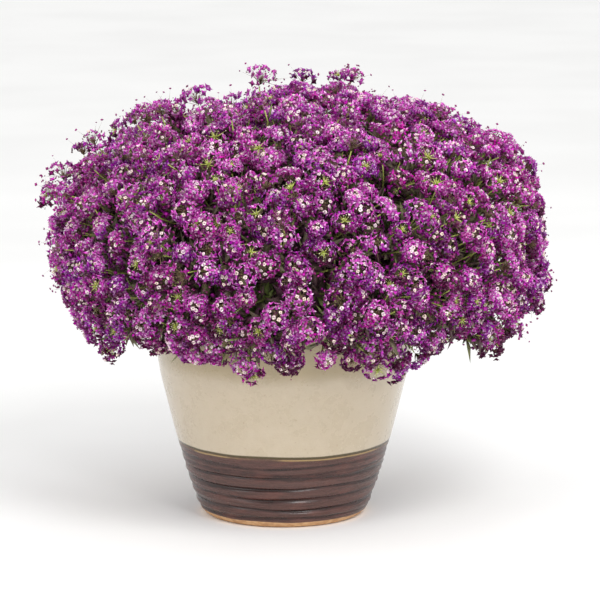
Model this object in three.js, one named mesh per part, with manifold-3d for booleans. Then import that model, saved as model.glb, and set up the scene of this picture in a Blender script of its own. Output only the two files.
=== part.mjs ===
// Potted sweet alyssum: a wheel-thrown, glazed pot filled with soil, out of which sprays rise, fan out and
// arch over the rim. Each spray is one solid: a stem that stands in its own hole in the soil and widens into
// a small leafy core, branches out of the core that each end in a domed flower head with florets as lobes,
// and leaves between the heads. Millimetres, +Z up. The origin is the centre of the pot's flat base.
import * as THREE from "three";
import { mergeVertices } from "three/addons/utils/BufferGeometryUtils.js";
import Module from "manifold-3d";

// Pot: its plain outer wall as radius and height, with turned ridges over the lower part
const POT_HEIGHT = 185;
const POT_SIDES = 28;
const WALL = 8;
const FLOOR = 12;
const LIP_ROUND = 3;
const OUTER_WALL = [
  [68, 0],
  [71.5, 1.5],
  [75, 5],
  [78.5, 12],
  [87.5, 38.7],
  [96.8, 72],
  [106.6, 111],
  [112, 133],
  [118, POT_HEIGHT - LIP_ROUND],
];
const RIDGE_LOW = 10;
const RIDGE_PITCH = 9.6;
const RIDGE_COUNT = 6;
const GROOVE_DEPTH = 1.1;
const INNER_HEIGHTS = [133, 72, 38.7, FLOOR];

// Soil: fills the pot to a little under the rim, higher in the middle
const SOIL_TOP = 164;
const SOIL_SWELL = 4;
const SOIL_RING = 56;
const CLEARANCE = 0.3;
const HOLE_BOTTOM = 150;

// Mound of flowers: an upper and a lower superellipse that meet at its widest height
const MOUND_RADIUS = 223;
const MOUND_WIDEST = 245;
const MOUND_RISE = 128;
const MOUND_DROP = 117;
const UPPER_POWER = 2.4;
const LOWER_POWER = 2.2;
const MOUND_END = -0.97;
const MOUND_LEAN = 0.06;
const LEAN_FROM = 130;
const LEAN_FULL = 200;
const MOUND_TILT = 0.07;
const TILT_FROM = 220;
const TILT_FULL = 330;
const PROFILE_STEPS = 240;

// Layout of the sprays and heads over the mound, the same area for each
const SPRAYS = 48;
const HEADS = 408;
const SPRAY_TURN = 0.4;
const SCATTER = 3.5;
const SPRAY_PUSH = 9;
const HEAD_PUSH = 3;
const GOLDEN_ANGLE = Math.PI * (3 - Math.sqrt(5));
const DRAWN = { arc: 1, bearing: 2, sprayPush: 223, headPush: 4, size: 8, tiltX: 11, tiltY: 12, tiltZ: 13 };

// Flower heads. Depths and reaches are in radii of the head.
const HEAD_RADIUS = 18;
const SMALLEST_HEAD = 0.84;
const LARGEST_HEAD = 1.06;
const HEAD_SPARE = 0.8;
const HEAD_TILT = 0.22;
const HEAD_LIFT = 0.15;
const HANGING_HEAD_LIFT = 0.5;
const LOBES = 5;
const LOBE_DROP = 0.1;
const NOTCH_REACH = 0.8;
const NOTCH_RISE = 0.08;
const HEAD_DEPTH = 0.42;
const NECK = 0.7;
const STRAIGHT_ENOUGH = 0.7;

// Stems, the sprays' cores and leaves
const STEM_CIRCLE = 86;
const STEM_RADIUS = 1.7;
const STEM_TIP_RADIUS = 1.2;
const BRANCH_RADIUS = 0.85;
const STEM_SHOWS = 2;
const STEM_ARCH = 10;
const MOUND_MIDDLE = 215;
const RIM_CROSSING = 142;
const RIM_CROSSING_HEIGHT = 207;
const HANGING_FROM = 250;
const HANGING_FULL = 160;
const CORE_LEVEL = 0.5;
const CORE_WIDTH = 0.78;
const CORE_TOP = 0.56;
const HANGING_TAPER = 0.54;
const LEAF_BASE = 3;
const LEAF_REACH = 1.25;
const LEAF_DROP = 0.35;
const LEAF_WIDTH = 5.5;
const LEAF_KEEL = 1.4;
const LEAF_WIDEST = 0.55;
const LEAF_TURNS = [-0.6, -0.3, 0, 0.3, 0.6];

const { smoothstep } = THREE.MathUtils;
const vec = (x, y, z) => new THREE.Vector3(x, y, z);
const UP = vec(0, 0, 1);
const THIRDS = [0, 1, 2].map((corner) => (corner * 2 * Math.PI) / 3);
const mix = (a, b, t) => a + (b - a) * t;
const nearest = (items, point) =>
  items.reduce((a, b) => (b.place.distanceTo(point) < a.place.distanceTo(point) ? b : a));

// A repeatable draw from 0 to 1 for one item and one purpose, and one from -1 to 1
function draw(item, purpose) {
  let h = Math.imul(item + 1, 0x9e3779b1) ^ Math.imul(purpose + 1, 0x85ebca6b);
  h = Math.imul(h ^ (h >>> 15), 0x2c1b3c6d);
  h = Math.imul(h ^ (h >>> 12), 0x297a2d39);
  return ((h ^ (h >>> 15)) >>> 0) / 4294967296;
}

const spread = (item, purpose) => 2 * draw(item, purpose) - 1;

// The mound's profile from its top to the flowers under the rim: radius, height, arc length, area above
function moundProfile() {
  const rows = [];
  for (let i = 0; i <= PROFILE_STEPS; i++) {
    const angle = mix(Math.PI / 2, MOUND_END, i / PROFILE_STEPS);
    const power = angle > 0 ? UPPER_POWER : LOWER_POWER;
    const rise = angle > 0 ? MOUND_RISE : MOUND_DROP;
    const r = MOUND_RADIUS * Math.cos(angle) ** (2 / power);
    const z = MOUND_WIDEST + Math.sign(angle) * rise * Math.abs(Math.sin(angle)) ** (2 / power);
    const last = rows[rows.length - 1] ?? { r, z, arc: 0, area: 0 };
    const step = Math.hypot(r - last.r, z - last.z);
    rows.push({ r, z, arc: last.arc + step, area: last.area + step * (r + last.r) });
  }
  return rows;
}

const PROFILE = moundProfile();

// The profile's row, mixed from its neighbours, where the named measure reaches a value
function profileAt(measure, value) {
  let i = 1;
  while (i < PROFILE_STEPS && PROFILE[i][measure] < value) i++;
  const low = PROFILE[i - 1];
  const high = PROFILE[i];
  const t = Math.min(1, Math.max(0, (value - low[measure]) / (high[measure] - low[measure])));
  const steep = Math.hypot(low.z - high.z, high.r - low.r);
  return {
    r: mix(low.r, high.r, t),
    z: mix(low.z, high.z, t),
    arc: mix(low.arc, high.arc, t),
    normalR: (low.z - high.z) / steep,
    normalZ: (high.r - low.r) / steep,
  };
}

// Point number i of a count, laid out over the mound like seeds in a sunflower, the same area for each.
// The mound leans a little towards +X above the rim, and its top is a little higher on that side.
function seedPoint(i, count, turn, scatter, push) {
  const even = profileAt("area", (PROFILE[PROFILE_STEPS].area * (i + 0.5)) / count);
  const row = profileAt("arc", Math.max(0, even.arc + scatter * spread(i, DRAWN.arc)));
  const shift = (scatter * spread(i, DRAWN.bearing)) / Math.max(even.r, 3 * scatter);
  const azimuth = i * GOLDEN_ANGLE + turn + shift;
  const lean = 1 + MOUND_LEAN * Math.cos(azimuth) * smoothstep(row.z, LEAN_FROM, LEAN_FULL);
  const r = row.r * lean + row.normalR * push;
  const [cos, sin] = [Math.cos(azimuth), Math.sin(azimuth)];
  const tilt = MOUND_TILT * r * cos * smoothstep(row.z, TILT_FROM, TILT_FULL);
  return {
    place: vec(r * cos, r * sin, row.z + row.normalZ * push + tilt),
    normal: vec(row.normalR * cos, row.normalR * sin, row.normalZ),
    azimuth,
  };
}

// The sprays' middles on the mound, with each flower head given to the nearest one
function layOutSprays() {
  const sprays = [];
  for (let j = 0; j < SPRAYS; j++) {
    const { place, azimuth } = seedPoint(j, SPRAYS, SPRAY_TURN, 0, 0);
    sprays.push({ index: j, place, azimuth, push: SPRAY_PUSH * spread(j, DRAWN.sprayPush), heads: [] });
  }
  for (let k = 0; k < HEADS; k++) {
    const spray = nearest(sprays, seedPoint(k, HEADS, 0, SCATTER, 0).place);
    const push = spray.push + HEAD_PUSH * spread(k, DRAWN.headPush);
    const { place, normal } = seedPoint(k, HEADS, 0, SCATTER, push);
    const tilt = vec(spread(k, DRAWN.tiltX), spread(k, DRAWN.tiltY), spread(k, DRAWN.tiltZ));
    const faces = normal.addScaledVector(UP, normal.z < 0 ? HANGING_HEAD_LIFT : HEAD_LIFT);
    faces.addScaledVector(tilt, HEAD_TILT).normalize();
    const radius = HEAD_RADIUS * mix(SMALLEST_HEAD, LARGEST_HEAD, draw(k, DRAWN.size));
    spray.heads.push({ place, faces, radius });
  }
  shrinkToFit(sprays.flatMap((spray) => spray.heads));
  return sprays;
}

// No two heads reach into each other: each keeps under half the way to any other.
function shrinkToFit(heads) {
  for (const head of heads) {
    const near = nearest(heads.filter((other) => other !== head), head.place);
    head.radius = Math.min(head.radius, near.place.distanceTo(head.place) / 2 - HEAD_SPARE);
  }
}

// Two unit vectors square to a direction
function across(along) {
  const side = Math.abs(along.z) > 0.9 ? vec(1, 0, 0) : UP.clone();
  const u = side.cross(along).normalize();
  return [u, along.clone().cross(u)];
}

// A skin is a list of points and a list of faces on them. A ring is three of its points, counter-clockwise
// seen from ahead.
const middleOf = (skin, ring) =>
  ring.reduce((sum, i) => sum.add(skin.points[i]), vec(0, 0, 0)).divideScalar(3);

function addRing(skin, middle, arms) {
  return arms.map((arm) => skin.points.push(middle.clone().add(arm)) - 1);
}

// Three spokes round a direction, the same angle apart, turned to lie as near as they can to a ring's corners
function spokesFor(skin, ring, along) {
  const middle = middleOf(skin, ring);
  const arm = THIRDS.reduce((sum, turn, i) => {
    const spoke = skin.points[ring[i]].clone().sub(middle);
    spoke.addScaledVector(along, -spoke.dot(along)).normalize();
    return sum.add(spoke.applyAxisAngle(along, -turn));
  }, vec(0, 0, 0));
  arm.normalize();
  return THIRDS.map((turn) => arm.clone().applyAxisAngle(along, turn));
}

// Grows a three-sided stalk from a ring along a path, carried round its bends untwisted. The last ring is
// square to the onward way.
function growStalk(skin, from, path, radii, onward) {
  const way = [middleOf(skin, from), ...path, path.at(-1).clone().add(onward)];
  const heading = (i) => way[i + 1].clone().sub(way[Math.max(0, i - 1)]).normalize();
  let along = heading(0);
  let spokes = spokesFor(skin, from, along);
  let ring = from;
  path.forEach((middle, i) => {
    const ahead = i === path.length - 1 ? onward.clone().normalize() : heading(i + 1);
    const bend = new THREE.Quaternion().setFromUnitVectors(along, ahead);
    spokes = spokes.map((spoke) => spoke.applyQuaternion(bend));
    along = ahead;
    const next = addRing(skin, middle, spokes.map((spoke) => spoke.clone().multiplyScalar(radii[i])));
    joinRings(skin, ring, next);
    ring = next;
  });
  return ring;
}

// The lower and the upper triangle of one side between two rings
function sideFaces(low, high, side) {
  const next = (side + 1) % 3;
  return [
    [low[side], low[next], high[side]],
    [low[next], high[next], high[side]],
  ];
}

function joinRings(skin, low, high) {
  for (let side = 0; side < 3; side++) skin.faces.push(...sideFaces(low, high, side));
}

// Ends a ring in a flower head: a dome whose rim has a lobe for each floret of its outer ring
function growHead(skin, ring, head) {
  const [u, v] = across(head.faces);
  const start = skin.points[ring[0]].clone().sub(head.place);
  const turn = Math.atan2(start.dot(v), start.dot(u));
  const at = (reach, angle, height) =>
    head.place
      .clone()
      .addScaledVector(u, reach * head.radius * Math.cos(angle))
      .addScaledVector(v, reach * head.radius * Math.sin(angle))
      .addScaledVector(head.faces, height * head.radius);
  const corners = 2 * LOBES;
  const rim = [];
  for (let i = 0; i < corners; i++) {
    const angle = turn + (i * Math.PI) / LOBES;
    const corner = i % 2 === 0 ? at(1, angle, -LOBE_DROP) : at(NOTCH_REACH, angle, NOTCH_RISE);
    rim.push(skin.points.push(corner) - 1);
  }
  const top = skin.points.push(at(0, 0, HEAD_DEPTH)) - 1;
  for (let i = 0; i < corners; i++) {
    const j = (i + 1) % corners;
    const near = ring[Math.floor((i * 3) / corners)];
    const next = ring[Math.floor(((i + 1) * 3) / corners) % 3];
    skin.faces.push([rim[i], rim[j], top], [near, rim[j], rim[i]]);
    if (next !== near) skin.faces.push([near, next, rim[j]]);
  }
}

// Grows a narrow keeled leaf from a face of the stem
function growLeaf(skin, face, tip) {
  const root = middleOf(skin, face);
  const forward = tip.clone().sub(root).normalize();
  const [keel] = spokesFor(skin, face, forward);
  const side = forward.clone().cross(keel);
  const arms = [
    keel.clone().multiplyScalar(LEAF_KEEL),
    side.clone().multiplyScalar(LEAF_WIDTH / 2),
    side.clone().multiplyScalar(-LEAF_WIDTH / 2),
  ];
  const widest = addRing(skin, root.clone().lerp(tip, LEAF_WIDEST), arms);
  joinRings(skin, face, widest);
  const end = skin.points.push(tip) - 1;
  for (let i = 0; i < 3; i++) skin.faces.push([widest[i], widest[(i + 1) % 3], end]);
}

// A point on a head's own axis, so many of its radii over its middle
function onAxis(head, radii) {
  return head.place.clone().addScaledVector(head.faces, radii * head.radius);
}

// Grows a branch to the underside of a head, with a bend where it would otherwise cut through the head
function growBranch(skin, face, head) {
  const foot = onAxis(head, -HEAD_DEPTH);
  const slant = foot.clone().sub(middleOf(skin, face)).normalize().dot(head.faces);
  const path = slant > STRAIGHT_ENOUGH ? [foot] : [onAxis(head, -HEAD_DEPTH - NECK), foot];
  growHead(skin, growStalk(skin, face, path, path.map(() => BRANCH_RADIUS), head.faces), head);
}

// Grows the stem's top: a neck, a leaf on each side of it that points into the gap beside the head, the head
function growLeafyTop(skin, ring, head, heads) {
  const neck = onAxis(head, -HEAD_DEPTH - NECK);
  const low = growStalk(skin, ring, [neck], [STEM_TIP_RADIUS], head.faces);
  const arms = low.map((i) => skin.points[i].clone().sub(neck));
  const high = addRing(skin, neck.clone().addScaledVector(head.faces, LEAF_BASE), arms);
  for (let side = 0; side < 3; side++) {
    const [below, above] = sideFaces(low, high, side);
    const out = arms[(side + 2) % 3].clone().negate().setLength(LEAF_REACH * head.radius);
    const tips = LEAF_TURNS.map((turn) =>
      onAxis(head, -LEAF_DROP).add(out.clone().applyAxisAngle(head.faces, turn)),
    );
    const room = (tip) => Math.min(...heads.map(({ place, radius }) => place.distanceTo(tip) - radius));
    growLeaf(skin, below, tips.reduce((a, b) => (room(b) > room(a) ? b : a)));
    skin.faces.push(above);
  }
  growHead(skin, growStalk(skin, high, [onAxis(head, -HEAD_DEPTH)], [STEM_TIP_RADIUS], head.faces), head);
}

// How far a spray hangs over the rim, from 0 for those that rise to 1
const hangOf = (spray) => 1 - smoothstep(spray.place.z, HANGING_FULL, HANGING_FROM);

// Where a spray's core begins: deep in the mound, and outside the rim for the sprays that hang over it
function hubOf(spray) {
  const inner = vec(0, 0, MOUND_MIDDLE).lerp(spray.place, 0.5);
  const hang = hangOf(spray);
  const reach = Math.hypot(inner.x, inner.y);
  const r = mix(reach, Math.max(reach, RIM_CROSSING), hang);
  const z = mix(inner.z, RIM_CROSSING_HEIGHT, hang);
  return vec(r * Math.cos(spray.azimuth), r * Math.sin(spray.azimuth), z);
}

// The stem's foot in the soil, under its own spray
function footOf(spray, z) {
  const r = STEM_CIRCLE * Math.sqrt((spray.index + 0.5) / SPRAYS);
  return vec(r * Math.cos(spray.azimuth), r * Math.sin(spray.azimuth), z);
}

// The three corners of the stem or its hole, from its middle
function footCorners(spray, radius) {
  return THIRDS.map((turn) => vec(radius, 0, 0).applyAxisAngle(UP, spray.azimuth + turn));
}

// The faces between a ring of three and a wider ring round the same axis, counter-clockwise seen from ahead:
// one for each side of the wider ring, and what fills up between them. Bearings are angles round the axis.
function fanFaces(wide, bearings, ring, firstBearing) {
  const count = wide.length;
  const bearing = (i) => bearings[i % count] + 2 * Math.PI * Math.floor(i / count);
  const third = (i) => Math.round(((bearing(i) + bearing(i + 1)) / 2 - firstBearing) / ((2 * Math.PI) / 3));
  const corner = (k) => ring[((k % 3) + 3) % 3];
  const sides = wide.map((point, i) => [point, wide[(i + 1) % count], corner(third(i))]);
  const fillers = [];
  for (let i = 0; i < count; i++) {
    for (let k = third(i); k < third(i + 1); k++) {
      fillers.push([corner(k), wide[(i + 1) % count], corner(k + 1)]);
    }
  }
  return { sides, fillers };
}

// One spray: a stem that widens into a leafy core. A branch to a head stands out of each side of the core,
// and the stem goes on from its middle to the leading head.
function spraySkin(spray, heads) {
  const hub = hubOf(spray);
  const lead = nearest(spray.heads, spray.place);
  const neck = onAxis(lead, -HEAD_DEPTH - NECK);
  const length = neck.distanceTo(hub);
  const axis = neck.clone().sub(hub).normalize();
  const [u, v] = across(axis);
  const bearing = (point) => Math.atan2(point.clone().sub(hub).dot(v), point.clone().sub(hub).dot(u));

  const skin = { points: [], faces: [] };
  const foot = addRing(skin, footOf(spray, HOLE_BOTTOM + CLEARANCE), footCorners(spray, STEM_RADIUS));
  skin.faces.push([foot[0], foot[2], foot[1]]);
  const collar = footOf(spray, SOIL_TOP + SOIL_SWELL + STEM_SHOWS);
  const arch = collar.clone().lerp(hub, 0.4).setZ(mix(collar.z, hub.z, 0.8) + STEM_ARCH);
  const mid = new THREE.QuadraticBezierCurve3(collar, arch, hub).getPoint(0.55);
  const turnOver = hub.clone().sub(mid).normalize().add(axis);
  const low = growStalk(skin, foot, [collar, mid, hub], [STEM_RADIUS, STEM_RADIUS, STEM_RADIUS], turnOver);

  // The core's corners lie between the other heads, taken in their order round the axis.
  const others = spray.heads
    .filter((head) => head !== lead)
    .map((head) => {
      const underside = onAxis(head, -HEAD_DEPTH);
      const way = underside.clone().sub(hub);
      const ahead = way.dot(axis);
      return { head, ahead, aside: way.addScaledVector(axis, -ahead).length(), bearing: bearing(underside) };
    })
    .sort((a, b) => a.bearing - b.bearing);
  const width = CORE_WIDTH * (1 - HANGING_TAPER * hangOf(spray));
  const corners = others.map((next, i) => {
    const last = others.at(i - 1);
    return {
      bearing: (last.bearing - (i === 0 ? 2 * Math.PI : 0) + next.bearing) / 2,
      ahead: (CORE_LEVEL * (last.ahead + next.ahead)) / 2,
      aside: (width * (last.aside + next.aside)) / 2,
    };
  });
  const bearings = corners.map((corner) => corner.bearing);
  const core = corners.map(({ bearing, ahead, aside }) => {
    const way = u.clone().multiplyScalar(Math.cos(bearing)).addScaledVector(v, Math.sin(bearing));
    return skin.points.push(hub.clone().addScaledVector(axis, ahead).addScaledVector(way, aside)) - 1;
  });
  const middle = hub.clone().addScaledVector(axis, CORE_TOP * length);
  const out = spokesFor(skin, low, axis).map((spoke) => spoke.multiplyScalar(STEM_TIP_RADIUS));
  const high = addRing(skin, middle, out);

  const firstBearing = bearing(skin.points[high[0]]);
  const under = fanFaces(core, bearings, low, firstBearing);
  skin.faces.push(...[...under.sides, ...under.fillers].map(([a, b, c]) => [c, b, a]));
  const over = fanFaces(core, bearings, high, firstBearing);
  skin.faces.push(...over.fillers);
  over.sides.forEach((face, i) => growBranch(skin, face, others[i].head));
  growLeafyTop(skin, high, lead, heads);
  return skin;
}

// The outer radius of the pot's plain wall at a height
function wallRadius(z) {
  let i = 1;
  while (i < OUTER_WALL.length - 1 && OUTER_WALL[i][1] < z) i++;
  const [[r0, z0], [r1, z1]] = [OUTER_WALL[i - 1], OUTER_WALL[i]];
  return mix(r0, r1, (z - z0) / (z1 - z0));
}

// The pot's profile from the middle of its base, up the outside, over the lip and down to the floor
function potProfile() {
  const ridgeTop = RIDGE_LOW + RIDGE_COUNT * RIDGE_PITCH;
  const outer = OUTER_WALL.filter(([, z]) => z < RIDGE_LOW);
  for (let i = 0; i < RIDGE_COUNT; i++) {
    const groove = RIDGE_LOW + i * RIDGE_PITCH;
    const crest = groove + RIDGE_PITCH / 2;
    outer.push([wallRadius(groove) - GROOVE_DEPTH, groove], [wallRadius(crest), crest]);
  }
  outer.push(...OUTER_WALL.filter(([, z]) => z > ridgeTop));
  const rimRadius = wallRadius(POT_HEIGHT - LIP_ROUND);
  const lip = [
    [rimRadius - LIP_ROUND / 2, POT_HEIGHT],
    [rimRadius - WALL + LIP_ROUND / 2, POT_HEIGHT],
    [rimRadius - WALL, POT_HEIGHT - LIP_ROUND],
  ];
  const inner = INNER_HEIGHTS.map((z) => [wallRadius(z) - WALL, z]);
  return [[0, 0], ...outer, ...lip, ...inner, [0, FLOOR]];
}

// The soil's profile: the inside of the pot less a small gap, under a low crown
function soilProfile() {
  const side = INNER_HEIGHTS.map((z) => [wallRadius(z) - WALL - CLEARANCE, z]).reverse();
  side[0][1] += CLEARANCE;
  const top = [
    [wallRadius(SOIL_TOP) - WALL - 2 * CLEARANCE, SOIL_TOP],
    [SOIL_RING, SOIL_TOP + SOIL_SWELL / 2],
    [0, SOIL_TOP + SOIL_SWELL],
  ];
  return [[0, side[0][1]], ...side, ...top];
}

function turned(profile) {
  const points = profile.map(([r, z]) => new THREE.Vector2(r, z));
  return new THREE.LatheGeometry(points, POT_SIDES).rotateX(Math.PI / 2);
}

// A plain three-sided hole in the soil round a stem's foot
function holeFor(spray) {
  const { x, y, z } = footOf(spray, HOLE_BOTTOM);
  const outline = new THREE.Shape(footCorners(spray, STEM_RADIUS + 2 * CLEARANCE));
  const depth = SOIL_TOP + 2 * SOIL_SWELL - HOLE_BOTTOM;
  return new THREE.ExtrudeGeometry(outline, { depth, bevelEnabled: false }).translate(x, y, z);
}

const wasm = await Module();
wasm.setup();

// A closed geometry as a solid, with its shared corners merged
function solidOf(geometry) {
  const bare = geometry.clone();
  bare.deleteAttribute("normal");
  bare.deleteAttribute("uv");
  const merged = mergeVertices(bare, 1e-4);
  return new wasm.Manifold(
    new wasm.Mesh({
      numProp: 3,
      vertProperties: merged.getAttribute("position").array,
      triVerts: new Uint32Array(merged.index.array),
    }),
  );
}

function skinGeometry({ points, faces }) {
  const made = new THREE.BufferGeometry().setFromPoints(points);
  made.setIndex(faces.flat());
  made.computeVertexNormals();
  return made;
}

function solidGeometry(solid) {
  const mesh = solid.getMesh();
  const made = new THREE.BufferGeometry();
  made.setAttribute("position", new THREE.BufferAttribute(new Float32Array(mesh.vertProperties), 3));
  made.setIndex([...mesh.triVerts]);
  made.computeVertexNormals();
  return made;
}

const glaze = new THREE.MeshStandardMaterial({ color: 0xc9bba2, roughness: 0.3, metalness: 0 });
const earth = new THREE.MeshStandardMaterial({ color: 0x3a2a1e, roughness: 1, metalness: 0 });
const purple = new THREE.MeshStandardMaterial({ color: 0x8e2a8c, roughness: 0.75, metalness: 0 });

function named(name, geometry, material) {
  const mesh = new THREE.Mesh(geometry, material);
  mesh.name = name;
  return mesh;
}

const sprays = layOutSprays();
const filling = solidOf(turned(soilProfile()));
const soil = sprays.reduce((solid, spray) => solid.subtract(solidOf(holeFor(spray))), filling);
const heads = sprays.flatMap((spray) => spray.heads);
const alyssum = new THREE.Group();
alyssum.add(named("pot", turned(potProfile()), glaze));
alyssum.add(named("soil", solidGeometry(soil), earth));
for (const spray of sprays) {
  const number = String(spray.index + 1).padStart(2, "0");
  alyssum.add(named("spray_" + number, skinGeometry(spraySkin(spray, heads)), purple));
}

export default alyssum;
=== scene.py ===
"""Potted sweet alyssum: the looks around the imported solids. Lengths are millimetres until a mesh is made."""

import math

import bpy
import numpy as np
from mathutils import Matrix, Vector


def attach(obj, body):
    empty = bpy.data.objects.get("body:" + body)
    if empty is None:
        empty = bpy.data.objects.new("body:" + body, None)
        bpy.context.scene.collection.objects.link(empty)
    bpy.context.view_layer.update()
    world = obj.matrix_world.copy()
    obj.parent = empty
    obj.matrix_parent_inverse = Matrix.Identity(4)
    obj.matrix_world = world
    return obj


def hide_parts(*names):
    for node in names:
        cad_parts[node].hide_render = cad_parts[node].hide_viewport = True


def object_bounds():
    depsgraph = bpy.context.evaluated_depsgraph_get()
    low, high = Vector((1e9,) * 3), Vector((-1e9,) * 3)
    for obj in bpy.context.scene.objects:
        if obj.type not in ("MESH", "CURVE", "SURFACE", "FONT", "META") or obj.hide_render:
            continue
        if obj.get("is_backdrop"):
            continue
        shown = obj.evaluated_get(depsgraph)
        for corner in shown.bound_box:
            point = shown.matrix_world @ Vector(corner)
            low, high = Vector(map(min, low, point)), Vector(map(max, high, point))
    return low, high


MM = 0.001
TURN = 2 * math.pi
GOLDEN_ANGLE = math.pi * (3 - math.sqrt(5))
UP = np.array([0.0, 0.0, 1.0])

# Layout of the sprays and flower heads: the rule and the values that place the solids
SPRAYS = 48
HEADS = 408
SPRAY_TURN = 0.4
SCATTER = 3.5
SPRAY_PUSH = 9
HEAD_PUSH = 3
MOUND_RADIUS = 223
MOUND_WIDEST = 245
MOUND_RISE = 128
MOUND_DROP = 117
UPPER_POWER = 2.4
LOWER_POWER = 2.2
MOUND_END = -0.97
MOUND_LEAN = 0.06
LEAN_FROM = 130
LEAN_FULL = 200
MOUND_TILT = 0.07
TILT_FROM = 220
TILT_FULL = 330
PROFILE_STEPS = 240
HEAD_TILT = 0.22
HEAD_LIFT = 0.15
HANGING_HEAD_LIFT = 0.5
MOUND_MIDDLE = 215
RIM_CROSSING = 142
RIM_CROSSING_HEIGHT = 207
HANGING_FROM = 250
HANGING_FULL = 160
STEM_CIRCLE = 86
STEM_BOTTOM = 150.5

# What the repeatable draws are for. The first two lines are draws that the solids make too.
DRAWN_ARC, DRAWN_BEARING, DRAWN_SPRAY_PUSH, DRAWN_HEAD_PUSH = 1, 2, 223, 4
DRAWN_TILT = (11, 12, 13)
DRAWN_FACE = (21, 22, 23)
DRAWN_HEAD_SIZE, DRAWN_HEAD_KIND, DRAWN_HEAD_HUE, DRAWN_HEAD_LIGHT, DRAWN_YOUNG = 24, 25, 26, 27, 28
DRAWN_LEAN = (31, 32, 33)
DRAWN_SITE_SIZE, DRAWN_SITE_SPIN, DRAWN_SITE_HUE, DRAWN_SITE_LIGHT, DRAWN_SITE_KEPT = 34, 35, 36, 37, 38
DRAWN_LEAF_SPIN, DRAWN_LEAF_LENGTH, DRAWN_LEAF_TILT, DRAWN_LEAF_LIGHT, DRAWN_LEAF_PLACE = 41, 42, 43, 44, 45
DRAWN_STRAY_KEPT, DRAWN_STRAY_BEARING, DRAWN_STRAY_REACH, DRAWN_STRAY_RISE = 51, 52, 53, 54
DRAWN_FILL_ORDER, DRAWN_FILL_SINK, DRAWN_FILL_GAP, DRAWN_OUTLIER, DRAWN_LOOSE = 55, 56, 57, 58, 59
DRAWN_GRAIN, DRAWN_CRUMB_REACH, DRAWN_CRUMB_BEARING, DRAWN_CRUMB_SIZE = 61, 62, 63, 64
DRAWN_CRUMB_AXIS = (65, 66, 67)
DRAWN_CRUMB_SPIN, DRAWN_CRUMB_TINT = 68, 69
DRAWN_JITTER = (70, 71, 72)
DRAWN_STRAY_STALK, DRAWN_STRAY_SIZE, DRAWN_STRAY_SPIN, DRAWN_STRAY_TINT = 73, 74, 75, 76
DRAWN_BRANCH_START = 81
DRAWN_FADED_PLACE, DRAWN_FADED_SPIN, DRAWN_FADED_LENGTH = 82, 83, 84
DRAWN_FADED_SIZE, DRAWN_FADED_TINT = 85, 86
DRAWN_FADED_LEAN = (87, 88, 89)
DRAWN_DRIFT = (91, 92, 93)
DRAWN_SAG = 94

# Flower heads as they grow: smaller than in the solids, with more of them between
FILL_TRIES = 5200
FILL_TURN = 1.9
FILL_GAP = 17.2
SMALLEST_GAP = 0.8
LARGEST_GAP = 1.3
FRINGE_GAP = 1.95
FRINGE_LOW = 155
FRINGE_HIGH = 200
FRINGE_GATHER = 0.34
SPRAY_SAG = 9.0
HEAD_SAG = 7.5
FRINGE_LIFT = 2.25
FILL_SINK = 11
OUTLIERS = 0.1
OUTLIER_LIFT = 5
TOP_OUTLIER_LIFT = 11
OUTLIER_SIDE = 0.9
OUTLIER_SIDE_POWER = 0.45
TOP_SLOPES = (0.15, 0.6)
HANGING_SLOPES = (-0.6, -0.1)
DRIFT = 2.5
LOOSE_HEADS = 0.13
LOOSENESS = 2.0
LOOSE_SIZE = 1.12
LOOSE_KEPT = 0.68
HEAD_RADIUS = 12.4
SMALLEST_HEAD = 0.72
LARGEST_HEAD = 1.22
FACE_TILT = 0.58
STARRY_HEADS = 0.22
BUDDED_HEADS = 0.42

# The sites of florets on a head: how many, the dome that they stand on, and how uneven it is
SITES = 36
SITE_BLOCK = 64
STALKED_SITES = 26
FINE_SITES = 22
DOME_SPAN = 1.42
DOME_RISE = 0.66
DOME_TOP = 0.14
SITE_POWER = 0.75
UNEVEN_SLOPE = 0.06
UNEVEN_BEARING = 0.15
UNEVEN_REACH = 0.1
UNEVEN_FACING = 0.35
FLORET = 6.5
YOUNG_FLORET = 3.9
BUD = 1.6
BUD_DEPTH = 1.25
STAR_BUD = 0.62
BUD_SITES = 3
BUDDED_SITES = 8
YOUNG_SITES = 3
STAR_RAYS = 11
STAR_SPREAD = 1.3
STAR_ROOT = -0.28
PEDICEL = 0.338
STAR_PEDICEL = 0.754
# Lightness of the open florets: a drawn middle and spread, then painted light on florets that face up, painted
# shade at each head's rim and painted shade on the low heads of the fringe
LIGHT_MIDDLE = 0.68
LIGHT_SPREAD = 1.5
PAINTED_SKY_LIGHT = 0.46
RIM_SHADE = 0.24
FRINGE_SHADE = 0.25
STRAYS = 8
STRAY_BLOCK = 16
STRAY_DEPTH = 0.6

# Stems, leaves and the faded florets below the heads
GROUPS = 8
BRANCH_THICK = 0.75
STEM_THICK = 1.7
OUTER_LEAVES = 2
INNER_LEAVES = 8
STEM_LEAVES = 44
LEAF_LENGTH = 19
INNER_LEAF_LENGTH = 27
STEM_LEAF_LENGTH = 36
LEAF_WIDTH = 0.13
INNER_LEAF_WIDTH = 0.24
FADED = 8
FADED_STALK = 7.0
FADED_THICK = 0.3
FADED_SIZE = 4.8
FADED_DEPTH = 0.45

# Pot: plain outer wall as radius and height, with the heights of its grooves
POT_HEIGHT = 185
WALL = 8
FLOOR = 12
LIP_ROUND = 3
OUTER_WALL = [
    (68, 0), (71.5, 1.5), (75, 5), (78.5, 12), (87.5, 38.7), (96.8, 72), (106.6, 111), (112, 133), (118, 182),
]
WALL_TOP = POT_HEIGHT - LIP_ROUND
GROOVES = [10, 18, 28.5, 38.3, 48.6, 53, 59]
GROOVE_DEPTHS = [0.8, 1.5, 1.2, 1.5, 1.3, 0.5, 1.0]
GROOVE_WIDTH = 1.4
BAND_TOP = 69
GLAZE_STEP = 0.25
FOOT_TOP = 5.6
POT_SEGMENTS = 132
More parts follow.
